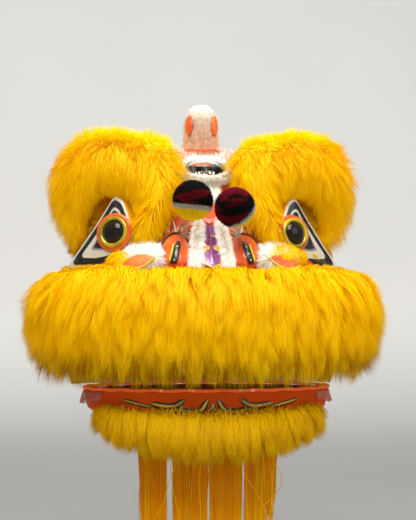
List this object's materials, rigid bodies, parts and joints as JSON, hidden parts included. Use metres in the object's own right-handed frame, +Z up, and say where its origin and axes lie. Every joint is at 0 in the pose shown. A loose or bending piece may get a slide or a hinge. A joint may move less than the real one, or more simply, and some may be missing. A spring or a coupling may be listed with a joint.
{
  "type": "lion dance head",
  "caption": "Southern style lion dance head with a hollow painted shell, yellow shag lip and brows, mirror, horn, pompoms on springs and a hinged jaw with beard.",
  "frame": {"origin": "middle of the hand bar, on the axis that the jaw turns on", "axes": "+Z up, the lion looks along -Y, +X is on the right of a front view"},
  "size_m": [0.72, 0.6391, 1.042],
  "materials": {
    "painted_paper": "red paint with flames on papier-mache",
    "eye_panel": "painted bands, satin",
    "yellow_fur": "long glossy shag",
    "white_fur": "short plush",
    "orange_foil": "metallic foil paper, satin",
    "orange_cloth": "cloth binding",
    "purple_foil": "metallic foil paper, glossy",
    "gold_rim": "gold gloss",
    "black_gloss": "high gloss",
    "pompom_yarn": "cut yarn pile",
    "steel": "bright wire",
    "mirror_glass": "polished",
    "wood": "plain cane and dowel",
    "beard_hair": "straight strands",
    "gauze": "thin open gauze"
  },
  "bodies": {
    "head": {"base_hoop": "wood", "brow_fur_left": "yellow_fur", "brow_fur_right": "yellow_fur", "cheek_fur_left": "yellow_fur", "cheek_fur_right": "yellow_fur", "cheek_leaf_left": "orange_foil", "cheek_leaf_right": "orange_foil", "cheek_trim_left": "white_fur", "cheek_trim_right": "white_fur", "eye_plate_left": "eye_panel", "eye_plate_right": "eye_panel", "eye_rim_left": "gold_rim", "eye_rim_right": "gold_rim", "eye_ring_left": "orange_foil", "eye_ring_right": "orange_foil", "eyeball_left": "black_gloss", "eyeball_right": "black_gloss", "forehead_fur": "white_fur", "hand_bar": "wood", "head_shell": "painted_paper", "horn": "white_fur", "horn_leaf_left": "orange_foil", "horn_leaf_right": "orange_foil", "horn_ribbon": "orange_cloth", "lip_fur": "yellow_fur", "mirror_frame": "steel", "mirror_fur": "white_fur", "mirror_glass": "mirror_glass", "nose_bridge": "purple_foil", "nose_crest": "orange_foil", "nose_fur_left": "white_fur", "nose_fur_right": "white_fur", "nose_stud_left": "gold_rim", "nose_stud_right": "gold_rim", "nose_stud_top": "gold_rim", "nostril_band_left": "black_gloss", "nostril_band_right": "black_gloss", "nostril_left": "orange_foil", "nostril_right": "orange_foil", "pompom_left": "pompom_yarn", "pompom_right": "pompom_yarn", "pompom_spring_left": "steel", "pompom_spring_right": "steel"},
    "jaw": {"jaw_tray": "painted_paper", "jaw_binding": "orange_cloth", "jaw_fur": "yellow_fur", "beard": "beard_hair", "corner_gauze_left": "gauze", "corner_gauze_right": "gauze", "jaw_hinge_left": "wood", "jaw_hinge_right": "wood"}
  },
  "joints": [
    {"name": "jaw", "type": "hinge", "parent": "head", "child": "jaw", "pos_m": [0, 0, 0], "axis": [-1, 0, 0], "range_deg": [0, 18]}
  ]
}
